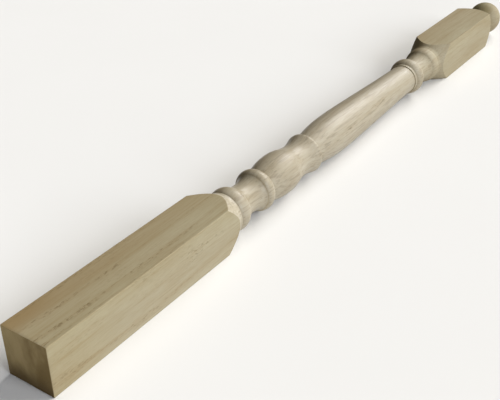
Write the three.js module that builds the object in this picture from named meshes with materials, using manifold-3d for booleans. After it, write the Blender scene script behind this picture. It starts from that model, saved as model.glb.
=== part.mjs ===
// A turned wooden newel post with a ball top, lying on one flat side.
// One length of square timber: two blocks stay square, and everything between and beyond them is turned.
// Millimetres, +Z up. The post runs along +X from foot to ball, centred on the origin, resting on z = 0.
import * as THREE from "three";
import { mergeVertices } from "three/addons/utils/BufferGeometryUtils.js";
import Module from "manifold-3d";

// The square timber, and the lengths of the corner edges of its two blocks
const SECTION = 76;
const FOOT_BLOCK_LENGTH = 350;
const RAIL_BLOCK_LENGTH = 217;

// Turned radii: crests are the high points of beads and bellies, throats the low points of coves
const CREST = 35.6;
const RING_CREST = 34.8;
const UPPER_BEAD_CREST = 35;
const TOP_BEAD_CREST = 34.5;
const COLLAR_RADIUS = 34.3;
const BALL_RADIUS = 35.4;
const LOWER_COVE_THROAT = 25.4;
const VASE_THROAT = 28.8;
const UPPER_COVE_THROAT = 25;
const NECK_THROAT = 22;

// Radii where one member meets the next
const SHOULDER_END = 35;
const TOP_SHOULDER_END = 33;
const LAND_RADIUS = 34.4;
const BEAD_ROOT = 30.6;
const COVE_LIP = 30.6;
const RING_ROOT = 28.2;
const VASE_FOOT = 27;
const SHAFT_FOOT = 26.5;
const SHAFT_HEAD = 27.8;
const FILLET_RADIUS = 29.5;
const TOP_BEAD_ROOT = 33.2;
const NECK_LIP = 29;
const BALL_SEAT = 24;

// Lengths along the axis, from the foot upward; a pair is the run before and after a crest or throat
const SHOULDER = 34;
const TOP_SHOULDER = 22;
const LAND = 6;
const UPPER_LAND = 8.2;
const TOP_LAND = 4;
const QUIRK = 1.2;
const QUIRK_DEPTH = 2.6;
const LOWER_BEAD = [12.8, 11.5];
const LOWER_COVE = [24, 23.5];
const RING = [9.5, 11.5];
const VASE = [51, 50];
const VASE_FLARE = 31.5;
const COLLAR = 2.5;
const COLLAR_FALL = 1.5;
const SHAFT = [93, 277.5];
const FILLET = 6;
const UPPER_BEAD = [15, 8.5];
const UPPER_COVE = [16.5, 31];
const TOP_BEAD = [15, 7];
const NECK = [12, 14.2];

// How much of a quarter turn beads and coves use at each end
const BEAD_ARC = 0.4 * Math.PI;
const COVE_ARC = 0.34 * Math.PI;

// Long curves: the share of the length that each end direction reaches, and the radius it carries
const SPRING_REACH = 0.3;
const SPRING_RISE = 4.6;
const CREST_REACH = 0.48;
const EASY_REACH = 0.42;
const FLARE_REACH = 0.3;
const FLARE_RISE = 2.2;
const BELLY_REACH = 0.17;
const TAPER_REACH = 0.36;
const TAPER_FALL = 1.7;

// How finely round work is faceted, and how far cutting stock runs past the work
const SEGMENTS = 40;
const ROLL_STEPS = 4;
const DEEP_COVE_STEPS = 5;
const NECK_STEPS = 3;
const SWELL_STEPS = 7;
const FLARE_STEPS = 5;
const SHAFT_STEPS = 8;
const BALL_STEPS = 12;
const OVERCUT = 5;

const CORNER_RADIUS = (SECTION / 2) * Math.SQRT2;
const BLANK_RADIUS = CORNER_RADIUS / Math.cos(Math.PI / SEGMENTS) + 1;

// The profile is a list of points (radius, distance from the foot), extended member by member.
const profile = [];

function here() {
  return profile[profile.length - 1];
}

function lineTo(radius, length) {
  profile.push(new THREE.Vector2(radius, here().y + length));
}

// Part of an ellipse that leaves at a slant and arrives along the axis; "arc" is how much of it is used.
function arcIn(radius, length, arc, steps) {
  const { x, y } = here();
  for (let i = 1; i <= steps; i++) {
    const turn = arc * (1 - i / steps);
    const across = 1 - (1 - Math.cos(turn)) / (1 - Math.cos(arc));
    const along = 1 - Math.sin(turn) / Math.sin(arc);
    profile.push(new THREE.Vector2(x + (radius - x) * across, y + length * along));
  }
}

// The same, the other way round: it leaves along the axis and arrives at a slant.
function arcOut(radius, length, arc, steps) {
  const { x, y } = here();
  for (let i = 1; i <= steps; i++) {
    const turn = (arc * i) / steps;
    const across = (1 - Math.cos(turn)) / (1 - Math.cos(arc));
    const along = Math.sin(turn) / Math.sin(arc);
    profile.push(new THREE.Vector2(x + (radius - x) * across, y + length * along));
  }
}

// Beads pass over a crest and fall steeply at each side.
function bead([before, after], crest, root) {
  arcIn(crest, before, BEAD_ARC, ROLL_STEPS);
  arcOut(root, after, BEAD_ARC, ROLL_STEPS);
}

// Coves pass under a throat and rise to a lip at an easy slant.
function cove([before, after], throat, lip, steps) {
  arcIn(throat, before, COVE_ARC, steps);
  arcOut(lip, after, COVE_ARC, steps);
}

// A long easy curve; "leave" and "arrive" are its end directions as (change of radius, length) pairs.
function sweepTo(radius, length, leave, arrive, steps) {
  const from = here();
  const to = new THREE.Vector2(radius, from.y + length);
  const first = new THREE.Vector2(from.x + leave[0], from.y + leave[1]);
  const second = new THREE.Vector2(to.x - arrive[0], to.y - arrive[1]);
  const curve = new THREE.CubicBezierCurve(from.clone(), first, second, to);
  profile.push(...curve.getPoints(steps).slice(1));
}

// A block is left square by the turning; its blank stands clear of the timber's corners.
// Each shoulder is a cone through the corners that leaves a rounded tongue on every face.
function runOut(length, end) {
  return ((BLANK_RADIUS - CORNER_RADIUS) * length) / (CORNER_RADIUS - end);
}

const RUN_OUT = runOut(SHOULDER, SHOULDER_END);
const TOP_RUN_OUT = runOut(TOP_SHOULDER, TOP_SHOULDER_END);

function footBlock() {
  profile.push(new THREE.Vector2(0, -OVERCUT));
  lineTo(BLANK_RADIUS, 0);
  lineTo(BLANK_RADIUS, OVERCUT + FOOT_BLOCK_LENGTH - RUN_OUT);
  lineTo(SHOULDER_END, SHOULDER + RUN_OUT);
  lineTo(LAND_RADIUS, LAND);
}

// A narrow groove, then a bead, a deep cove and a ring
function lowerMouldings() {
  lineTo(LAND_RADIUS - QUIRK_DEPTH, 0);
  lineTo(LAND_RADIUS - QUIRK_DEPTH, QUIRK);
  bead(LOWER_BEAD, CREST, BEAD_ROOT);
  cove(LOWER_COVE, LOWER_COVE_THROAT, COVE_LIP, DEEP_COVE_STEPS);
  bead(RING, RING_CREST, RING_ROOT);
}

// A squat vase that falls to a throat and flares to a sharp collar
function vase() {
  const [rise, fall] = VASE;
  lineTo(VASE_FOOT, 0);
  sweepTo(CREST, rise, [SPRING_RISE, SPRING_REACH * rise], [0, CREST_REACH * rise], SWELL_STEPS);
  sweepTo(VASE_THROAT, fall, [0, EASY_REACH * fall], [0, EASY_REACH * fall], SWELL_STEPS);
  const leave = [0, EASY_REACH * VASE_FLARE];
  const arrive = [FLARE_RISE, FLARE_REACH * VASE_FLARE];
  sweepTo(COLLAR_RADIUS, VASE_FLARE, leave, arrive, FLARE_STEPS);
  lineTo(COLLAR_RADIUS, COLLAR);
  lineTo(SHAFT_FOOT, COLLAR_FALL);
}

// The long shaft swells to a belly low down, then tapers to its head.
function shaft() {
  const [rise, fall] = SHAFT;
  sweepTo(CREST, rise, [SPRING_RISE, SPRING_REACH * rise], [0, CREST_REACH * rise], SHAFT_STEPS);
  sweepTo(SHAFT_HEAD, fall, [0, BELLY_REACH * fall], [-TAPER_FALL, TAPER_REACH * fall], SHAFT_STEPS);
}

// A fillet, a bead, a cove and a second bead under the upper block
function upperMouldings() {
  lineTo(FILLET_RADIUS, 0);
  lineTo(FILLET_RADIUS, FILLET);
  bead(UPPER_BEAD, UPPER_BEAD_CREST, BEAD_ROOT);
  cove(UPPER_COVE, UPPER_COVE_THROAT, COVE_LIP, DEEP_COVE_STEPS);
  bead(TOP_BEAD, TOP_BEAD_CREST, TOP_BEAD_ROOT);
}

function railBlock() {
  lineTo(SHOULDER_END, UPPER_LAND);
  lineTo(BLANK_RADIUS, SHOULDER + RUN_OUT);
  lineTo(BLANK_RADIUS, RAIL_BLOCK_LENGTH - RUN_OUT - TOP_RUN_OUT);
  lineTo(TOP_SHOULDER_END, TOP_SHOULDER + TOP_RUN_OUT);
  lineTo(TOP_SHOULDER_END, TOP_LAND);
}

function neckAndBall() {
  lineTo(NECK_LIP, 0);
  cove(NECK, NECK_THROAT, BALL_SEAT, NECK_STEPS);
  const { x, y } = here();
  const start = Math.asin(x / BALL_RADIUS);
  const centre = y + BALL_RADIUS * Math.cos(start);
  for (let i = 1; i < BALL_STEPS; i++) {
    const angle = start + ((Math.PI - start) * i) / BALL_STEPS;
    profile.push(new THREE.Vector2(BALL_RADIUS * Math.sin(angle), centre - BALL_RADIUS * Math.cos(angle)));
  }
  profile.push(new THREE.Vector2(0, centre + BALL_RADIUS));
}

footBlock();
lowerMouldings();
vase();
shaft();
upperMouldings();
railBlock();
neckAndBall();

const POST_LENGTH = here().y;

const wasm = await Module();
wasm.setup();

function solidFrom(geometry) {
  geometry.deleteAttribute("normal");
  geometry.deleteAttribute("uv");
  const merged = mergeVertices(geometry, 1e-4);
  return new wasm.Manifold(
    new wasm.Mesh({
      numProp: 3,
      vertProperties: merged.attributes.position.array,
      triVerts: new Uint32Array(merged.index.array),
    }),
  );
}

function geometryFrom(solid) {
  const mesh = solid.getMesh();
  return new THREE.BufferGeometry()
    .setAttribute("position", new THREE.BufferAttribute(mesh.vertProperties, 3))
    .setIndex(new THREE.BufferAttribute(mesh.triVerts, 1));
}

// The turning is cut by the four sides of the square timber and by its sawn foot.
const turning = solidFrom(new THREE.LatheGeometry(profile, SEGMENTS));
const timber = new THREE.BoxGeometry(SECTION, POST_LENGTH + OVERCUT, SECTION);
timber.translate(0, (POST_LENGTH + OVERCUT) / 2, 0);
const postGeometry = geometryFrom(turning.intersect(solidFrom(timber)));
postGeometry.computeVertexNormals();

const wood = new THREE.MeshStandardMaterial({ color: 0xb8a986, roughness: 0.6, metalness: 0 });

const turnedPost = new THREE.Mesh(postGeometry, wood);
turnedPost.name = "turned_post";
turnedPost.rotation.z = -Math.PI / 2;
turnedPost.position.set(-POST_LENGTH / 2, 0, SECTION / 2);

const post = new THREE.Group();
post.name = "turned_newel_post";
post.add(turnedPost);

export default post;
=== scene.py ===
import math

import bpy
from mathutils import Matrix, Vector


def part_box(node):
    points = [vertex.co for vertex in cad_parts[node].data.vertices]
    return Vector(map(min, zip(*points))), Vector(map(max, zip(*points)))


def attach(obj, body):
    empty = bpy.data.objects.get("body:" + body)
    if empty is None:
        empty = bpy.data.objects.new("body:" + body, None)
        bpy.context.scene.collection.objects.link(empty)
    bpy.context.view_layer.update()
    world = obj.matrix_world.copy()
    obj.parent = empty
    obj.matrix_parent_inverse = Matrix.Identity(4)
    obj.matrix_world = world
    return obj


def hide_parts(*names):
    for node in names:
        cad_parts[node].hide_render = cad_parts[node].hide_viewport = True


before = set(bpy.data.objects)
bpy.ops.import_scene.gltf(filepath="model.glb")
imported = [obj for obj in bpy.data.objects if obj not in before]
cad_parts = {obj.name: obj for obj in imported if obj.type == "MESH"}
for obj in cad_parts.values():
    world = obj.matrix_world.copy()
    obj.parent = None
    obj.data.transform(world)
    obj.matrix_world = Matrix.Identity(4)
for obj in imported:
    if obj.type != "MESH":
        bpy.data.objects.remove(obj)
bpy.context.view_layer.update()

# The post lies along +X from its foot to its ball, on one flat side of its square timber.
# Sizes of its shape are in millimetres on a timber 76 mm square, and stations are measured from the foot.
SECTION = 76
post_low, post_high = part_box("turned_post")
MM = (post_high.z - post_low.z) / SECTION
AXIS_HEIGHT = (post_low.z + post_high.z) / 2
HALF = SECTION / 2
CORNER = HALF * math.sqrt(2)
FOOT_BLOCK = 350
RAIL_BLOCK = 217

# Turned radii: crests of beads and bellies, throats of coves, and the places where members meet
CREST = 35.6
RING_CREST = 34.8
UPPER_BEAD_CREST = 35
TOP_BEAD_CREST = 34.5
COLLAR_RADIUS = 34.3
BALL_RADIUS = 35.4
LOWER_COVE_THROAT = 25.4
VASE_THROAT = 28.8
UPPER_COVE_THROAT = 25
NECK_THROAT = 22
SHOULDER_END = 35
TOP_SHOULDER_END = 33
LAND_RADIUS = 34.4
BEAD_ROOT = 30.6
COVE_LIP = 30.6
RING_ROOT = 28.2
VASE_FOOT = 27
SHAFT_FOOT = 26.5
SHAFT_HEAD = 27.8
FILLET_RADIUS = 29.5
TOP_BEAD_ROOT = 33.2
NECK_LIP = 29
BALL_SEAT = 24

# Lengths along the axis; a pair is the run before and after a crest or throat
SHOULDER = 34
TOP_SHOULDER = 22
LAND = 6
UPPER_LAND = 8.2
TOP_LAND = 4
QUIRK = 1.2
QUIRK_DEPTH = 2.6
LOWER_BEAD = (12.8, 11.5)
LOWER_COVE = (24, 23.5)
RING = (9.5, 11.5)
VASE = (51, 50)
VASE_FLARE = 31.5
COLLAR = 2.5
COLLAR_FALL = 1.5
SHAFT = (93, 277.5)
FILLET = 6
UPPER_BEAD = (15, 8.5)
UPPER_COVE = (16.5, 31)
TOP_BEAD = (15, 7)
NECK = (12, 14.2)

# Curves, as on the solid: the arcs of rolls, and the reach and change of radius at the ends of long sweeps
BEAD_ARC = 0.4 * math.pi
COVE_ARC = 0.34 * math.pi
SPRING_REACH = 0.3
SPRING_RISE = 4.6
CREST_REACH = 0.48
EASY_REACH = 0.42
FLARE_REACH = 0.3
FLARE_RISE = 2.2
BELLY_REACH = 0.17
TAPER_REACH = 0.36
TAPER_FALL = 1.7

# Sanded edges: how far each kind of edge is rounded off, and the most that this takes of a short side
ARRIS_EASE = 0.9
FOOT_EASE = 0.7
TONGUE_EASE = 0.6
MOULDING_EASE = 0.35
EASE_SHARE = 0.4

# How deep the middle of a rounded edge lies, as a share of its reach
FOOT_DIP = 0.3
TONGUE_DIP = 0.1

# An outline is sanded where it turns by more than a sharp turn, but not beside a tiny side
SHARP_TURN = math.radians(24)
TINY = 1e-6

# Faces that meet at more than this show an edge between them
CREASE = math.radians(38)

# Columns of the mesh; those at a corner, and their clearance, are in shares of the arc that rounds it
COLUMNS_PER_SIDE = 40
CORNER_COLUMNS = (-1.9, -1, -2 / 3, -1 / 3, 0, 1 / 3, 2 / 3, 1, 1.9)
CORNER_CLEARANCE = 2.5

# Rings of the sawn end, in shares of the way to its rim, and one that keeps a margin from the rim
FOOT_RINGS = (0.12, 0.25, 0.4, 0.55, 0.7, 0.82, 0.92)
FOOT_MARGIN = 1.75

# Rows of the mesh along each kind of member
BLOCK_ROWS = 16
SHOULDER_ROWS = 14
LAND_ROWS = 3
NARROW_ROWS = 2
ROLL_ROWS = 12
SWEEP_ROWS = 34
SHAFT_ROWS = 56
BALL_ROWS = 34

# Turned work is palest along the shaft and takes the dull olive of the planed faces towards the upper block
OLIVE_FROM = 985
OLIVE_TO = 1090
OLIVE_MOST = 0.6

# A rounded edge takes half of the look of each side
HALF_WAY = 0.5


class Turning:
    """A turned outline, as points (station, radius), extended member by member."""

    def __init__(self, station, radius):
        self.points = [(station, radius)]

    def line(self, radius, length, rows=1):
        x, r = self.points[-1]
        for i in range(1, rows + 1):
            t = i / rows
            self.points.append((x + length * t, r + (radius - r) * t))

    def arc_in(self, radius, length, arc):
        """Leaves at a slant and arrives along the axis."""
        x, r = self.points[-1]
        for i in range(1, ROLL_ROWS + 1):
            turn = arc * (1 - i / ROLL_ROWS)
            across = 1 - (1 - math.cos(turn)) / (1 - math.cos(arc))
            along = 1 - math.sin(turn) / math.sin(arc)
            self.points.append((x + length * along, r + (radius - r) * across))

    def arc_out(self, radius, length, arc):
        """Leaves along the axis and arrives at a slant."""
        x, r = self.points[-1]
        for i in range(1, ROLL_ROWS + 1):
            turn = arc * i / ROLL_ROWS
            across = (1 - math.cos(turn)) / (1 - math.cos(arc))
            along = math.sin(turn) / math.sin(arc)
            self.points.append((x + length * along, r + (radius - r) * across))

    def bead(self, lengths, crest, root):
        self.arc_in(crest, lengths[0], BEAD_ARC)
        self.arc_out(root, lengths[1], BEAD_ARC)

    def cove(self, lengths, throat, lip):
        self.arc_in(throat, lengths[0], COVE_ARC)
        self.arc_out(lip, lengths[1], COVE_ARC)

    def sweep(self, radius, length, leave, arrive, rows):
        """A long easy curve; leave and arrive are (change of radius, length) at its two ends."""
        x, r = self.points[-1]
        ends = [(x, r), (x + leave[1], r + leave[0])]
        ends += [(x + length - arrive[1], radius - arrive[0]), (x + length, radius)]
        for i in range(1, rows + 1):
            t = i / rows
            weights = ((1 - t) ** 3, 3 * t * (1 - t) ** 2, 3 * t * t * (1 - t), t**3)
            self.points.append(tuple(sum(w * p[k] for w, p in zip(weights, ends)) for k in (0, 1)))

    def eased(self):
        """The same outline with every sharp corner sanded to a narrow flat."""
        done = [self.points[0]]
        for before, here, after in zip(self.points, self.points[1:], self.points[2:]):
            into = Vector((here[0] - before[0], here[1] - before[1]))
            onward = Vector((after[0] - here[0], after[1] - here[1]))
            if into.length < TINY or onward.length < TINY or into.angle(onward) < SHARP_TURN:
                done.append(here)
                continue
            back = into.normalized() * min(MOULDING_EASE, EASE_SHARE * into.length)
            ahead = onward.normalized() * min(MOULDING_EASE, EASE_SHARE * onward.length)
            done.append((here[0] - back.x, here[1] - back.y))
            done.append((here[0] + ahead.x, here[1] + ahead.y))
        return done + [self.points[-1]]


def main_turning():
    """Everything turned between the two blocks, from the end of one shoulder to the start of the next."""
    work = Turning(FOOT_BLOCK + SHOULDER, SHOULDER_END)
    work.line(LAND_RADIUS, LAND, LAND_ROWS)
    work.line(LAND_RADIUS - QUIRK_DEPTH, 0)
    work.line(LAND_RADIUS - QUIRK_DEPTH, QUIRK)
    work.bead(LOWER_BEAD, CREST, BEAD_ROOT)
    work.cove(LOWER_COVE, LOWER_COVE_THROAT, COVE_LIP)
    work.bead(RING, RING_CREST, RING_ROOT)

    rise, fall = VASE
    work.line(VASE_FOOT, 0)
    work.sweep(CREST, rise, (SPRING_RISE, SPRING_REACH * rise), (0, CREST_REACH * rise), SWEEP_ROWS)
    work.sweep(VASE_THROAT, fall, (0, EASY_REACH * fall), (0, EASY_REACH * fall), SWEEP_ROWS)
    flare_start = (0, EASY_REACH * VASE_FLARE)
    flare_end = (FLARE_RISE, FLARE_REACH * VASE_FLARE)
    work.sweep(COLLAR_RADIUS, VASE_FLARE, flare_start, flare_end, SWEEP_ROWS // 2)
    work.line(COLLAR_RADIUS, COLLAR)
    work.line(SHAFT_FOOT, COLLAR_FALL)

    rise, fall = SHAFT
    work.sweep(CREST, rise, (SPRING_RISE, SPRING_REACH * rise), (0, CREST_REACH * rise), SHAFT_ROWS // 2)
    work.sweep(SHAFT_HEAD, fall, (0, BELLY_REACH * fall), (-TAPER_FALL, TAPER_REACH * fall), SHAFT_ROWS)

    work.line(FILLET_RADIUS, 0)
    work.line(FILLET_RADIUS, FILLET, NARROW_ROWS)
    work.bead(UPPER_BEAD, UPPER_BEAD_CREST, BEAD_ROOT)
    work.cove(UPPER_COVE, UPPER_COVE_THROAT, COVE_LIP)
    work.bead(TOP_BEAD, TOP_BEAD_CREST, TOP_BEAD_ROOT)
    work.line(SHOULDER_END, UPPER_LAND, LAND_ROWS)
    return work.eased()


def top_turning(start):
    """The land, neck and ball beyond the upper block; the last point lies on the axis."""
    work = Turning(start, TOP_SHOULDER_END)
    work.line(TOP_SHOULDER_END, TOP_LAND, NARROW_ROWS)
    work.line(NECK_LIP, 0)
    work.cove(NECK, NECK_THROAT, BALL_SEAT)
    x, r = work.points[-1]
    first = math.asin(r / BALL_RADIUS)
    centre = x + BALL_RADIUS * math.cos(first)
    for i in range(1, BALL_ROWS + 1):
        angle = first + (math.pi - first) * i / BALL_ROWS
        work.points.append((centre - BALL_RADIUS * math.cos(angle), BALL_RADIUS * math.sin(angle)))
    work.points[-1] = (centre + BALL_RADIUS, 0)
    return work.eased()


def column_angles():
    """Even columns round the axis, with a closer set that rounds each corner of the timber."""
    step = 90 / COLUMNS_PER_SIDE
    arc = 45 - math.degrees(math.atan((HALF - ARRIS_EASE) / HALF))
    angles = []
    for side in range(4):
        middle = 90 * side
        evens = [middle - 45 + step * i for i in range(1, COLUMNS_PER_SIDE)]
        angles += [a for a in evens if abs(a - middle) < 45 - CORNER_CLEARANCE * arc]
        angles += [middle + 45 + arc * share for share in CORNER_COLUMNS]
    return [math.radians(a) for a in angles]


def timber_radius(angle):
    """Distance from the axis to the surface of the square timber, whose corners are eased."""
    lesser, greater = sorted((abs(math.cos(angle)), abs(math.sin(angle))))
    inner = HALF - ARRIS_EASE
    if HALF * lesser / greater <= inner:
        return HALF / greater
    reach = (greater + lesser) * inner
    return reach + math.sqrt(reach * reach - 2 * inner * inner + ARRIS_EASE * ARRIS_EASE)


def dullness(station):
    """How far turned work at this station has the look of the planed faces."""
    return OLIVE_MOST * min(max((station - OLIVE_FROM) / (OLIVE_TO - OLIVE_FROM), 0), 1)


class Shoulder:
    """A cone from a block's corners to a round end; way is 1 where it lies up the post, -1 where down."""

    def __init__(self, corner, length, end, way):
        self.corner = corner
        self.way = way
        self.end = corner + way * length
        self.slope = (CORNER - end) / length

    def station(self, radius):
        return self.corner + self.way * (CORNER - radius) / self.slope

    def radius(self, station):
        return CORNER - self.slope * self.way * (station - self.corner)


class PostMesh:
    """Rows of vertices from the foot to the ball, with one vertex per column in each row."""

    def __init__(self):
        self.angles = column_angles()
        self.limits = [timber_radius(a) for a in self.angles]
        self.points = []
        self.rows = []
        self.dull = []
        self.sawn = []

    def add_row(self, places, dull=0.0, sawn=0.0):
        start = len(self.points)
        for angle, (x, r) in zip(self.angles, places):
            y = r * math.cos(angle)
            z = r * math.sin(angle)
            self.points.append((post_low.x + x * MM, y * MM, AXIS_HEIGHT + z * MM))
            self.dull.append(dull)
            self.sawn.append(sawn)
        self.rows.append(range(start, len(self.points)))

    def add_turning(self, outline):
        for x, r in outline:
            self.add_row([(x, r)] * len(self.angles), dullness(x))

    def add_foot(self):
        """The sawn end, ring by ring from its middle, and its rounded edge."""
        for share in FOOT_RINGS:
            self.add_row([(0, r * share) for r in self.limits], sawn=1)
        for inset in (FOOT_MARGIN, FOOT_EASE):
            self.add_row([(0, r - inset) for r in self.limits], sawn=1)
        dip = FOOT_DIP * FOOT_EASE
        self.add_row([(dip, r - dip) for r in self.limits], HALF_WAY, HALF_WAY)
        self.add_row([(FOOT_EASE, r) for r in self.limits], dull=1)

    def add_flats(self, starts, ends):
        """Rows along a block, closest at its ends, between two curves given column by column."""
        for i in range(1, BLOCK_ROWS):
            t = (1 - math.cos(math.pi * i / BLOCK_ROWS)) / 2
            places = [(a + (b - a) * t, r) for a, b, r in zip(starts, ends, self.limits)]
            self.add_row(places, dull=1)

    def edge(self, cone, inset=0.0):
        """Where a block's faces meet a shoulder, column by column; inset moves it into the block."""
        return [cone.station(r) - cone.way * inset for r in self.limits]

    def add_shoulder(self, cone):
        """The eased edge of a block's faces and the cone beyond it, in order up the post."""
        dip = TONGUE_DIP * TONGUE_EASE
        rows = [(list(zip(self.edge(cone, TONGUE_EASE), self.limits)), 1.0)]
        rows.append(([(x, r - dip) for x, r in zip(self.edge(cone), self.limits)], HALF_WAY))
        for i in range(SHOULDER_ROWS):
            t = i / SHOULDER_ROWS
            stations = [x + (cone.end - x) * t for x in self.edge(cone, -TONGUE_EASE)]
            rows.append(([(x, cone.radius(x)) for x in stations], dullness(cone.end)))
        for places, dull in rows[::cone.way]:
            self.add_row(places, dull)

    def build(self, name, length):
        """Joins the rows with faces, closes the two ends and gives the mesh its attributes."""
        count = len(self.angles)
        faces = []
        for low, high in zip(self.rows, self.rows[1:]):
            for i in range(count):
                j = (i + 1) % count
                faces.append((low[i], low[j], high[j], high[i]))
        middle = len(self.points)
        pole = middle + 1
        self.points += [(post_low.x, 0, AXIS_HEIGHT), (post_low.x + length * MM, 0, AXIS_HEIGHT)]
        self.dull += [0, OLIVE_MOST]
        self.sawn += [1, 0]
        first = self.rows[0]
        last = self.rows[-1]
        faces += [(middle, first[(i + 1) % count], first[i]) for i in range(count)]
        faces += [(pole, last[i], last[(i + 1) % count]) for i in range(count)]
        mesh = bpy.data.meshes.new(name)
        mesh.from_pydata(self.points, [], faces)
        mesh.validate()
        for label, values in (("dull", self.dull), ("sawn", self.sawn)):
            layer = mesh.attributes.new(label, "FLOAT", "POINT")
            layer.data.foreach_set("value", values)
        mesh.shade_smooth()
        mesh.set_sharp_from_angle(angle=CREASE)
        mesh.update()
        post = bpy.data.objects.new(name, mesh)
        bpy.context.scene.collection.objects.link(post)
        return post


def build_post():
    shape = PostMesh()
    lower = main_turning()
    rail_start = lower[-1][0] + SHOULDER
    foot_cone = Shoulder(FOOT_BLOCK, SHOULDER, SHOULDER_END, 1)
    rail_cone = Shoulder(rail_start, SHOULDER, SHOULDER_END, -1)
    top_cone = Shoulder(rail_start + RAIL_BLOCK, TOP_SHOULDER, TOP_SHOULDER_END, 1)
    top = top_turning(top_cone.end)
    length = top[-1][0]

    shape.add_foot()
    shape.add_flats([FOOT_EASE] * len(shape.limits), shape.edge(foot_cone, TONGUE_EASE))
    shape.add_shoulder(foot_cone)
    shape.add_turning(lower)
    shape.add_shoulder(rail_cone)
    shape.add_flats(shape.edge(rail_cone, TONGUE_EASE), shape.edge(top_cone, TONGUE_EASE))
    shape.add_shoulder(top_cone)
    shape.add_turning(top[:-1])
    return shape.build("newel_post", length)


class Nodes:
    """Short ways to add and join shader nodes."""

    def __init__(self, tree):
        self.tree = tree

    def add(self, kind, inputs=None, **settings):
        made = self.tree.nodes.new(kind)
        for key, value in settings.items():
            setattr(made, key, value)
        for key, value in (inputs or {}).items():
            if isinstance(value, bpy.types.NodeSocket):
                self.tree.links.new(value, made.inputs[key])
            else:
                made.inputs[key].default_value = value
        return made

    def attribute(self, name):
        return self.add("ShaderNodeAttribute", attribute_name=name).outputs["Fac"]

    def parts(self, vector):
        return self.add("ShaderNodeSeparateXYZ", {0: vector}).outputs

    def math(self, operation, a, b=0.0, clamp=False):
        return self.add("ShaderNodeMath", {0: a, 1: b}, operation=operation, use_clamp=clamp).outputs[0]

    def times(self, first, *others):
        """The product of all the values."""
        product = first
        for other in others:
            product = self.math("MULTIPLY", product, other)
        return product

    def vector(self, operation, a, b):
        return self.add("ShaderNodeVectorMath", {0: a, 1: b}, operation=operation).outputs[0]

    def length(self, vector):
        return self.add("ShaderNodeVectorMath", {0: vector}, operation="LENGTH").outputs["Value"]

    def noise(self, vector, detail, roughness):
        inputs = {"Vector": vector, "Scale": 1.0, "Detail": detail, "Roughness": roughness}
        return self.add("ShaderNodeTexNoise", inputs)

    def ramp(self, value, span, low, high):
        """Goes smoothly from low to high as the value crosses the span."""
        inputs = {"Value": value, "From Min": span[0], "From Max": span[1], "To Min": low, "To Max": high}
        return self.add("ShaderNodeMapRange", inputs, interpolation_type="SMOOTHSTEP").outputs["Result"]

    def between(self, value, rise, fall):
        """Rises from 0 to 1 across one span and falls back to 0 across another."""
        return self.times(self.ramp(value, rise, 0.0, 1.0), self.ramp(value, fall, 1.0, 0.0))

    def mix(self, factor, a, b):
        return self.add("ShaderNodeMix", {0: factor, 6: a, 7: b}, data_type="RGBA").outputs[2]


# Planed faces are more olive than turned work, and both go from pale to tan and back in bands
PLANED_PALE = (0.330, 0.296, 0.194, 1)
PLANED_TAN = (0.282, 0.242, 0.144, 1)
TURNED_PALE = (0.352, 0.317, 0.243, 1)
TURNED_TAN = (0.301, 0.264, 0.189, 1)

# Brown towards the heart, also used as painted shade on the heart side of turned work, and grey away from
# it, with grey brown lines on turned work and dark pores
HEART_AND_SHADE_BROWN = (0.215, 0.150, 0.068, 1)
SAP_GREY = (0.298, 0.266, 0.203, 1)
TURNED_LINE = (0.185, 0.150, 0.100, 1)
PORE = (0.10, 0.066, 0.026, 1)

# Tints of single places, among them painted shade and painted highlights, and the colours of end grain,
# with a painted contact shadow
UPPER_SHADE_BROWN = (0.115, 0.090, 0.038, 1)
HIGHLIGHT_PALE = (0.45, 0.41, 0.315, 1)
CROWN_OLIVE_SHADE = (0.205, 0.178, 0.085, 1)
STAIN_RED = (0.215, 0.143, 0.060, 1)
END_OLIVE = (0.285, 0.215, 0.100, 1)
END_BROWN = (0.145, 0.098, 0.034, 1)
END_CONTACT_SHADOW = (0.070, 0.044, 0.014, 1)

# The looks of the timber are in metres: along is x from the middle of the post, up is z from the floor,
# and across is the distance from the heart, a line beside the post.
HEART_LINE = (0.0, 0.20, 0.14)

# Growth rings lie this far apart round the heart, and their numbering decides which are strong
RING_SPACING = 0.0129
RING_NUMBER = 1272.438

# A ring darkens soon after its start and then fades; the faintest keeps a share of the strongest
RING_DARKENS = (0.0, 0.15)
RING_FADES = (0.15, 0.75)
RING_LUCK = (0.2, 0.8)
FAINTEST_RING = 0.12

# The grain swings from side to side in one slow wave along the post, and wanders a little
GRAIN_SWING = 0.0139
GRAIN_WAVE = 1.6
GRAIN_CREST = -0.55
GRAIN_WANDER = 0.012

# Noises, each by how many features a metre holds along the grain and across it
WANDER_NOISE = (4.0, 14.0)
BAND_NOISE = (2.6, 26.0)
PATCH_NOISE = (9.0, 45.0)
STREAK_NOISE = (11.0, 300.0)
FINE_NOISE = (42.0, 420.0)
TURNED_DASHES = (55.0, 600.0)
PLANED_DASHES = (150.0, 520.0)

# The detail and roughness of the broad noises and of the fine ones
SOFT = (2.0, 0.5)
CRISP = (3.0, 0.6)

# The middle of a noise, and the part of its range over which each comes to show
NOISE_MIDDLE = 0.5
BAND_SHOWS = (0.30, 0.70)
PATCH_SHOWS = (0.45, 0.72)
STREAK_SHOWS = (0.48, 0.68)
FINE_SHOWS = (0.35, 0.72)
DASH_SHOWS = (0.50, 0.66)
RUN_SHOWS = (0.42, 0.60)

# How strongly each marking shows; a pair is for turned work and for planed faces
ROW_SHARES = (0.12, 0.26)
PATCH_SHARES = (0.08, 0.16)
STREAK_SHARES = (0.52, 0.28)
FINE_SHARE = 0.20
PORE_SHARE = 0.70

# Pores come in runs along the rings, with a few between rings and between runs
PORES_ON_RINGS = 0.75
PORES_OFF_RINGS = 0.14
PORES_OFF_RUNS = 0.08

# They are sparser on the outer side, farther up the planed faces, and from the shaft upward
SPARSE_ACROSS = (0.252, 0.262)
SPARSE_ALONG = (-0.57, -0.49)
SPARSE_SHARE = 0.5
LAST_ALONG = (0.10, 0.40)
LAST_SHARE = 0.25

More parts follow.
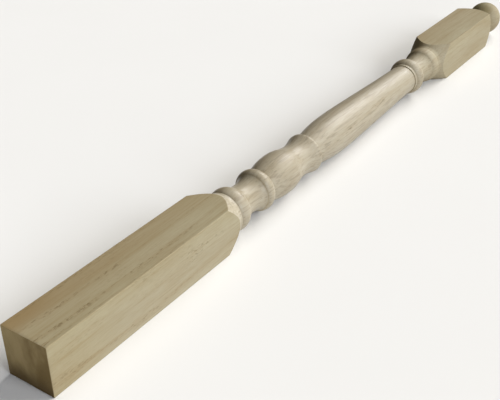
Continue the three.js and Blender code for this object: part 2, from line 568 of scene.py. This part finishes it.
# Turned work shows few of them except on its outer side
OPEN_ACROSS = (0.236, 0.248)
CLOSED_SHARE = 0.2

# A field of pores lies on the outer side of the foot block, towards its shoulder
FIELD_ALONG = ((-0.50, -0.45), (-0.40, -0.385))
FIELD_ACROSS = ((0.246, 0.249), (0.258, 0.264))
FIELD_SHARE = 0.5

# Brown covers planed faces in a broad fade and a ragged step, and turned work in a narrow fade that is
# partly heartwood and partly painted shade on its heart side
HEART_FADE = (0.190, 0.252)
HEART_FADE_SHARE = 0.34
HEART_STEP = (0.195, 0.206)
HEART_STEP_SHARE = 0.26
HEART_RAGGEDNESS = 0.030
HEART_AND_SHADE_TURNED = (0.188, 0.213)
HEART_AND_SHADE_TURNED_SHARE = 0.85

# It is strongest at the foot
HEART_ALONG = (-0.70, -0.38)
HEART_STRENGTHS = (1.12, 0.66)

# The outer side of planed faces is grey, but for a little brown by the foot
SAP_ACROSS = (0.240, 0.262)
SAP_ALONG = (-0.72, -0.58)
SAP_SHARE = 0.38
SAP_LEAST = 0.1
FOOT_BROWN_SHARE = 0.12

# Even the most olive of the turned work counts as turned in full
TURNED_GAIN = 1 / (1 - OLIVE_MOST)

# Painted shade: dark brown on the heart side of the turned work about the rail block
UPPER_ALONG = (0.325, 0.345)
UPPER_ACROSS = (0.189, 0.218)
UPPER_SHADE_SHARE = 0.80

# Painted highlight: a pale patch on the lit facet of the foot block's shoulder
FACET_ALONG = ((-0.39, -0.38), (-0.347, -0.340))
FACET_ACROSS = (0.245, 0.256)
FACET_HIGHLIGHT_SHARE = 0.55
FACET_LEAST = 0.2

# Painted highlight: a pale edge over the top of the collar
RIM_ALONG = ((-0.1170, -0.1150), (-0.1120, -0.1105))
RIM_UP = (0.055, 0.070)
RIM_HIGHLIGHT_SHARE = 0.6
RIM_LEAST = 0.1

# An olive crown on the ball, partly the wood's tone and partly painted shade on its upper heart side
CROWN_ALONG = (0.655, 0.662)
CROWN_ACROSS = (0.224, 0.242)
CROWN_UP = (0.046, 0.064)
CROWN_SHADE_SHARE = 0.8

# A reddish stain on the upper face by the foot: its middle, its reach each way, and how it fades over that
STAIN_AT = (-0.705, 0.030, 0.076)
STAIN_REACH = (0.080, 0.022, 0.050)
STAIN_FADES = (0.1, 1.0)
STAIN_SHARE = 0.58

# Faces that look along the post show end grain
STEEP = (0.5, 1.0)
STEEP_SHARE = 0.45

# The sawn foot is blotched, browner low down and on the near side as painted shade, and darkest along the
# floor as a painted contact shadow
END_NOISE = (1.0, 40.0, 22.0)
END_DETAIL = (3.0, 0.5)
END_SHADE_FALL = -4.0
END_LIFT = 0.15
END_SHOWS = (0.22, 0.72)
END_SHADOW_UP = (0.0, 0.032)
END_SHADOW_SHARE = 0.75

# Roughness of turned work by its fine mottle, and what the upper part and the matt faces add to it
FINE_ROUGHENS = (0.3, 0.8)
TURNED_ROUGHNESS = (0.32, 0.42)
ROUGHER_ALONG = (-0.08, 0.10)
ROUGHER_BY = 0.07
MATT_BY = 0.36

# How much light the surface mirrors
SPECULAR = 0.185

# Relief of the mottle and the pores; its depth is in metres
RELIEF_STRENGTH = 0.25
RELIEF_DEPTH = 0.0003
MOTTLE_HEIGHT = 0.5


def drawn_out(noise):
    """A noise's features for each of the three axes."""
    along, across = noise
    return (along, across, across)


class Timber(Nodes):
    """The nodes of bare timber; what several steps need is kept by name."""

    def __init__(self, tree):
        super().__init__(tree)
        self.place = self.add("ShaderNodeTexCoord").outputs["Object"]
        self.x, self.y, self.z = self.parts(self.place)
        self.dull = self.attribute("dull")
        self.sawn = self.attribute("sawn")
        self.undulled = self.math("SUBTRACT", 1.0, self.dull)
        self.turned = self.math("MULTIPLY", self.undulled, TURNED_GAIN, clamp=True)
        self.patch = self.grain(PATCH_NOISE, SOFT).outputs["Fac"]
        self.fine = self.grain(FINE_NOISE, CRISP).outputs["Fac"]
        self.lay_rings()
        self.lay_pores()

    def grain(self, noise, texture):
        """Noise drawn out along the post."""
        return self.noise(self.vector("MULTIPLY", self.place, drawn_out(noise)), *texture)

    def by_finish(self, shares):
        """One share on turned work and the other on planed faces."""
        return self.ramp(self.dull, (0.0, 1.0), *shares)

    def lay_rings(self):
        """Growth rings: rough cylinders round the heart, swung by the wave of the grain."""
        turn = self.times(self.math("SUBTRACT", self.x, GRAIN_CREST), 2 * math.pi / GRAIN_WAVE)
        swing = self.times(self.math("COSINE", turn), GRAIN_SWING)
        wander = self.grain(WANDER_NOISE, SOFT).outputs["Color"]
        wander = self.vector("SUBTRACT", wander, (NOISE_MIDDLE, NOISE_MIDDLE, NOISE_MIDDLE))
        wander = self.vector("MULTIPLY", wander, (0.0, GRAIN_WANDER, GRAIN_WANDER))
        spoke = self.vector("SUBTRACT", self.vector("ADD", self.place, wander), HEART_LINE)
        self.across = self.length(self.vector("MULTIPLY", spoke, (0.0, 1.0, 1.0)))
        self.swung = self.math("SUBTRACT", self.across, swing)
        ring = self.math("ADD", self.times(self.swung, 1 / RING_SPACING), RING_NUMBER)
        number = self.math("FLOOR", ring)
        luck = self.add("ShaderNodeTexWhiteNoise", {"W": number}, noise_dimensions="1D").outputs["Value"]
        row = self.between(self.math("FRACT", ring), RING_DARKENS, RING_FADES)
        self.row = self.times(row, self.ramp(luck, RING_LUCK, FAINTEST_RING, 1.0))

    def lay_pores(self):
        """Short dark pores, in runs along the rings and in one field."""
        scale = self.mix(self.dull, (*drawn_out(TURNED_DASHES), 1), (*drawn_out(PLANED_DASHES), 1))
        dashes = self.noise(self.vector("MULTIPLY", self.place, scale), *SOFT).outputs["Fac"]
        dashes = self.ramp(dashes, DASH_SHOWS, 0.0, 1.0)
        runs = self.ramp(self.patch, RUN_SHOWS, PORES_OFF_RUNS, 1.0)
        rings = self.math("ADD", self.times(self.row, PORES_ON_RINGS), PORES_OFF_RINGS)
        outer = self.ramp(self.across, SPARSE_ACROSS, 1.0, SPARSE_SHARE)
        upward = self.ramp(self.x, SPARSE_ALONG, 1.0, SPARSE_SHARE)
        sparse = self.times(rings, outer, self.math("MAXIMUM", self.undulled, upward))
        field = self.times(self.between(self.x, *FIELD_ALONG), self.between(self.across, *FIELD_ACROSS))
        found = self.math("ADD", sparse, self.times(field, FIELD_SHARE))
        open_grain = self.ramp(self.swung, OPEN_ACROSS, CLOSED_SHARE, 1.0)
        open_grain = self.math("MAXIMUM", self.dull, open_grain)
        last = self.ramp(self.x, LAST_ALONG, 1.0, LAST_SHARE)
        self.pore = self.times(dashes, runs, found, open_grain, last)

    def heart_and_shade_share(self):
        """How brown the timber is: heartwood brown, and on turned work partly painted shade on the heart
        side.
        """
        jitter = self.times(self.math("SUBTRACT", self.patch, NOISE_MIDDLE), HEART_RAGGEDNESS)
        step = self.ramp(self.math("ADD", self.across, jitter), HEART_STEP, HEART_STEP_SHARE, 0.0)
        fade = self.ramp(self.across, HEART_FADE, HEART_FADE_SHARE, 0.0)
        planed = self.math("ADD", step, fade)
        # On turned work the narrow brown fade is partly heartwood and partly painted shade on the heart
        # side.
        turned = self.ramp(self.across, HEART_AND_SHADE_TURNED, HEART_AND_SHADE_TURNED_SHARE, 0.0)
        brown = self.add("ShaderNodeMix", {"Factor": self.dull, "A": turned, "B": planed}).outputs["Result"]
        return self.times(brown, self.ramp(self.x, HEART_ALONG, *HEART_STRENGTHS))

    def base_colour(self):
        """Pale and tan bands, grey on the outer side and brown towards the heart, which on turned work is
        partly painted shade.
        """
        band = self.ramp(self.grain(BAND_NOISE, SOFT).outputs["Fac"], BAND_SHOWS, 0.0, 1.0)
        turned = self.mix(band, TURNED_PALE, TURNED_TAN)
        planed = self.mix(band, PLANED_PALE, PLANED_TAN)
        colour = self.mix(self.dull, turned, planed)
        outer = self.ramp(self.across, SAP_ACROSS, 0.0, 1.0)
        sap = self.times(outer, SAP_SHARE, self.dull, self.ramp(self.x, SAP_ALONG, SAP_LEAST, 1.0))
        colour = self.mix(sap, colour, SAP_GREY)
        foot = self.times(outer, self.ramp(self.x, SAP_ALONG, FOOT_BROWN_SHARE, 0.0))
        colour = self.mix(foot, colour, HEART_AND_SHADE_BROWN)
        return self.mix(self.heart_and_shade_share(), colour, HEART_AND_SHADE_BROWN)

    def with_tints(self, colour):
        """Tints of single places: painted shade on the upper heart side, painted highlights on the foot
        shoulder's facet and the collar's edge, the ball's olive crown, which is partly painted shade, and
        the stain.
        """
        # Painted shade: dark brown on the heart side of the upper turned work.
        painted_shade = self.times(self.ramp(self.x, UPPER_ALONG, 0.0, UPPER_SHADE_SHARE), self.turned)
        painted_shade = self.times(painted_shade, self.ramp(self.across, UPPER_ACROSS, 1.0, 0.0))
        colour = self.mix(painted_shade, colour, UPPER_SHADE_BROWN)
        # Painted highlight on the lit facet of the foot block's shoulder.
        facet_highlight = self.times(self.between(self.x, *FACET_ALONG), FACET_HIGHLIGHT_SHARE, self.turned)
        facet_highlight = self.times(facet_highlight, self.ramp(self.across, FACET_ACROSS, 1.0, FACET_LEAST))
        colour = self.mix(facet_highlight, colour, HIGHLIGHT_PALE)
        # Painted highlight: a pale edge along the top of the collar.
        rim_highlight = self.times(self.between(self.x, *RIM_ALONG), RIM_HIGHLIGHT_SHARE)
        rim_highlight = self.times(rim_highlight, self.ramp(self.z, RIM_UP, RIM_LEAST, 1.0))
        colour = self.mix(rim_highlight, colour, HIGHLIGHT_PALE)
        # Partly painted shade: darker olive over the top of the ball on its heart side.
        crown_shade = self.ramp(self.x, CROWN_ALONG, 0.0, CROWN_SHADE_SHARE)
        crown_shade = self.times(crown_shade, self.ramp(self.across, CROWN_ACROSS, 1.0, 0.0))
        crown_shade = self.times(crown_shade, self.ramp(self.z, CROWN_UP, 0.0, 1.0))
        colour = self.mix(crown_shade, colour, CROWN_OLIVE_SHADE)
        off = self.vector("DIVIDE", self.vector("SUBTRACT", self.place, STAIN_AT), STAIN_REACH)
        return self.mix(self.ramp(self.length(off), STAIN_FADES, STAIN_SHARE, 0.0), colour, STAIN_RED)

    def with_markings(self, colour):
        """The markings of the grain: rings, patches, a fine mottle, streaks and pores."""
        colour = self.mix(self.times(self.row, self.by_finish(ROW_SHARES)), colour, HEART_AND_SHADE_BROWN)
        patches = self.times(self.ramp(self.patch, PATCH_SHOWS, 0.0, 1.0), self.by_finish(PATCH_SHARES))
        colour = self.mix(patches, colour, HEART_AND_SHADE_BROWN)
        colour = self.mix(self.ramp(self.fine, FINE_SHOWS, 0.0, FINE_SHARE), colour, HEART_AND_SHADE_BROWN)
        streak = self.grain(STREAK_NOISE, CRISP).outputs["Fac"]
        lines = self.times(self.ramp(streak, STREAK_SHOWS, 0.0, 1.0), self.by_finish(STREAK_SHARES))
        colour = self.mix(lines, colour, self.mix(self.dull, TURNED_LINE, HEART_AND_SHADE_BROWN))
        return self.mix(self.times(self.pore, PORE_SHARE), colour, PORE)

    def with_end_grain(self, colour):
        """End grain drinks light: steep turned faces darken a little, and the sawn foot a lot; the foot's
        darkening towards the bottom and near side is painted shade, and its dark strip along the floor a
        painted contact shadow.
        """
        normal = self.add("ShaderNodeNewGeometry").outputs["Normal"]
        lean = self.math("ABSOLUTE", self.parts(normal)["X"])
        colour = self.mix(self.ramp(lean, STEEP, 0.0, STEEP_SHARE), colour, END_OLIVE)
        blotch = self.noise(self.vector("MULTIPLY", self.place, END_NOISE), *END_DETAIL).outputs["Fac"]
        # Painted shade: the foot grows browner towards the bottom and the near side.
        fall = self.times(self.math("ADD", self.y, self.z), END_SHADE_FALL)
        depth = self.math("ADD", self.math("ADD", blotch, fall), END_LIFT)
        end = self.mix(self.ramp(depth, END_SHOWS, 0.0, 1.0), END_OLIVE, END_BROWN)
        # Painted contact shadow: the foot is darkest along the floor.
        end = self.mix(self.ramp(self.z, END_SHADOW_UP, END_SHADOW_SHARE, 0.0), end, END_CONTACT_SHADOW)
        return self.mix(self.sawn, colour, end)

    def roughness(self):
        matt = self.times(self.math("MAXIMUM", self.dull, self.sawn), MATT_BY)
        rough = self.math("ADD", matt, self.ramp(self.fine, FINE_ROUGHENS, *TURNED_ROUGHNESS))
        return self.math("ADD", rough, self.ramp(self.x, ROUGHER_ALONG, 0.0, ROUGHER_BY))

    def relief(self):
        height = self.math("SUBTRACT", self.times(self.fine, MOTTLE_HEIGHT), self.pore)
        inputs = {"Strength": RELIEF_STRENGTH, "Distance": RELIEF_DEPTH, "Height": height}
        return self.add("ShaderNodeBump", inputs).outputs["Normal"]


def wood_material():
    """Pale bare timber: brown towards one corner, with rows of short dark pores along some growth rings,
    and painted shade, painted highlights and a painted contact shadow in a few places.
    """
    material = bpy.data.materials.new("bare_timber")
    material.use_nodes = True
    tree = material.node_tree
    timber = Timber(tree)
    colour = timber.with_tints(timber.base_colour())
    colour = timber.with_end_grain(timber.with_markings(colour))
    shader = tree.nodes["Principled BSDF"]
    tree.links.new(colour, shader.inputs["Base Color"])
    tree.links.new(timber.roughness(), shader.inputs["Roughness"])
    tree.links.new(timber.relief(), shader.inputs["Normal"])
    shader.inputs["Specular IOR Level"].default_value = SPECULAR
    return material


# The floor reaches this far each way, in metres, and goes slowly between two pale tones
FLOOR_REACH = 60.0
FLOOR_GREY = (0.72, 0.715, 0.70, 1)
FLOOR_PALE = (0.74, 0.735, 0.72, 1)
FLOOR_NOISE = (3.0, 3.0, 3.0)
FLOOR_ROUGHNESS = 0.9
FLOOR_SPECULAR = 0.1


def floor_material():
    material = bpy.data.materials.new("pale_floor")
    material.use_nodes = True
    tree = material.node_tree
    nodes = Nodes(tree)
    shader = tree.nodes["Principled BSDF"]
    place = nodes.add("ShaderNodeTexCoord").outputs["Object"]
    mottle = nodes.noise(nodes.vector("MULTIPLY", place, FLOOR_NOISE), *SOFT).outputs["Fac"]
    tree.links.new(nodes.mix(mottle, FLOOR_GREY, FLOOR_PALE), shader.inputs["Base Color"])
    shader.inputs["Roughness"].default_value = FLOOR_ROUGHNESS
    shader.inputs["Specular IOR Level"].default_value = FLOOR_SPECULAR
    return material


def build_floor():
    mesh = bpy.data.meshes.new("floor")
    corners = [(FLOOR_REACH * x, FLOOR_REACH * y, 0) for x, y in ((-1, -1), (1, -1), (1, 1), (-1, 1))]
    mesh.from_pydata(corners, [], [(0, 1, 2, 3)])
    mesh.materials.append(floor_material())
    floor = bpy.data.objects.new("floor", mesh)
    floor.location.z = post_low.z
    bpy.context.scene.collection.objects.link(floor)


# Soft distant lights: the direction from the post, the strength, the spread in degrees, and the colour
LIGHTS = {
    "back_window": ((0.828, -0.04, 0.559), 2.7, 32, (1.0, 0.985, 0.97)),
    "side_window": ((-0.05, -0.88, 0.47), 2.4, 32, (0.905, 0.935, 1.0)),
    "overhead": ((0.60, -0.46, 0.655), 1.9, 36, (1.0, 0.97, 0.90)),
    "front_fill": ((-0.72, -0.68, 0.12), 0.78, 14, (0.97, 0.98, 1.0)),
}
LIGHT_DISTANCE = 3

# The room's dim warm light, and its pale walls as the camera sees them
AMBIENT = (0.02, 0.018, 0.014, 1)
BACKDROP = (0.90, 0.90, 0.89, 1)


def add_sun(name, towards, strength, spread, colour):
    light = bpy.data.lights.new(name, "SUN")
    light.energy = strength
    light.angle = math.radians(spread)
    light.color = colour
    sun = bpy.data.objects.new(name, light)
    sun.rotation_mode = "QUATERNION"
    sun.rotation_quaternion = Vector(towards).to_track_quat("Z", "Y")
    sun.location = Vector(towards).normalized() * LIGHT_DISTANCE
    bpy.context.scene.collection.objects.link(sun)


def light_studio():
    world = bpy.data.worlds.new("studio")
    world.use_nodes = True
    tree = world.node_tree
    nodes = Nodes(tree)
    background = tree.nodes["Background"]
    seen = nodes.add("ShaderNodeLightPath").outputs["Is Camera Ray"]
    tree.links.new(nodes.mix(seen, AMBIENT, BACKDROP), background.inputs["Color"])
    background.inputs["Strength"].default_value = 1.0
    bpy.context.scene.world = world
    for name, settings in LIGHTS.items():
        add_sun(name, *settings)
    bpy.context.scene.view_settings.view_transform = "Standard"
    bpy.context.scene.view_settings.look = "None"


# The photograph's viewpoint, in sections of the timber from the floor under the middle of the foot
EYE = (-6.1669, -8.5088, 9.3104)
LOOK = (0.70263, 0.49021, -0.51575)
ROLL = math.radians(-0.783)

# The lens and its sensor in millimetres, and the range of sight in metres
LENS = 61.30
SENSOR = 36
NEAREST = 0.05
FARTHEST = 40


def place_camera():
    data = bpy.data.cameras.new("camera")
    data.sensor_width = SENSOR
    data.lens = LENS
    data.clip_start = NEAREST
    data.clip_end = FARTHEST
    camera = bpy.data.objects.new("camera", data)
    look = Vector(LOOK).normalized()
    level = look.cross(Vector((0, 0, 1))).normalized()
    upright = level.cross(look)
    right = level * math.cos(ROLL) + upright * math.sin(ROLL)
    up = right.cross(look)
    turn = Matrix((right, up, -look)).transposed()
    section = SECTION * MM
    at = Vector((post_low.x + EYE[0] * section, EYE[1] * section, post_low.z + EYE[2] * section))
    camera.matrix_world = Matrix.Translation(at) @ turn.to_4x4()
    bpy.context.scene.collection.objects.link(camera)
    bpy.context.scene.camera = camera


place_camera()
post = build_post()
post.data.materials.append(wood_material())
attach(post, "root")
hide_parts("turned_post")
build_floor()
light_studio()
